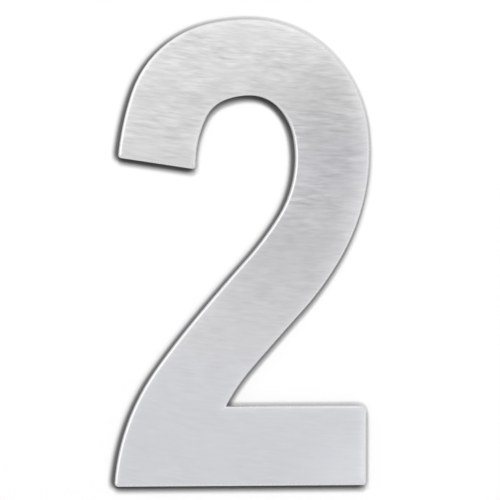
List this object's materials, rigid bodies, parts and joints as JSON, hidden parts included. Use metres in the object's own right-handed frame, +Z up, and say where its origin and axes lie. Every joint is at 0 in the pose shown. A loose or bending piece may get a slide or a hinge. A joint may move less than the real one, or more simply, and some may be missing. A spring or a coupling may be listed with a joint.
{
  "type": "house number",
  "caption": "Flat brushed steel numeral two with a round bowl, a curved spine and a straight foot, held flush on a wall by threaded studs.",
  "frame": {"origin": "on the back face, halfway between the two studs", "axes": "+Z up the numeral, +Y into the wall along the studs, +X to the right as seen from the front"},
  "size_m": [0.0831, 0.034, 0.152],
  "materials": {
    "brushed_plate": "brushed nearly level, with a softened front edge",
    "stud_steel": "plain rolled thread"
  },
  "bodies": {
    "root": {"number_plate": "brushed_plate", "upper_stud": "stud_steel", "lower_stud": "stud_steel"}
  },
  "joints": []
}
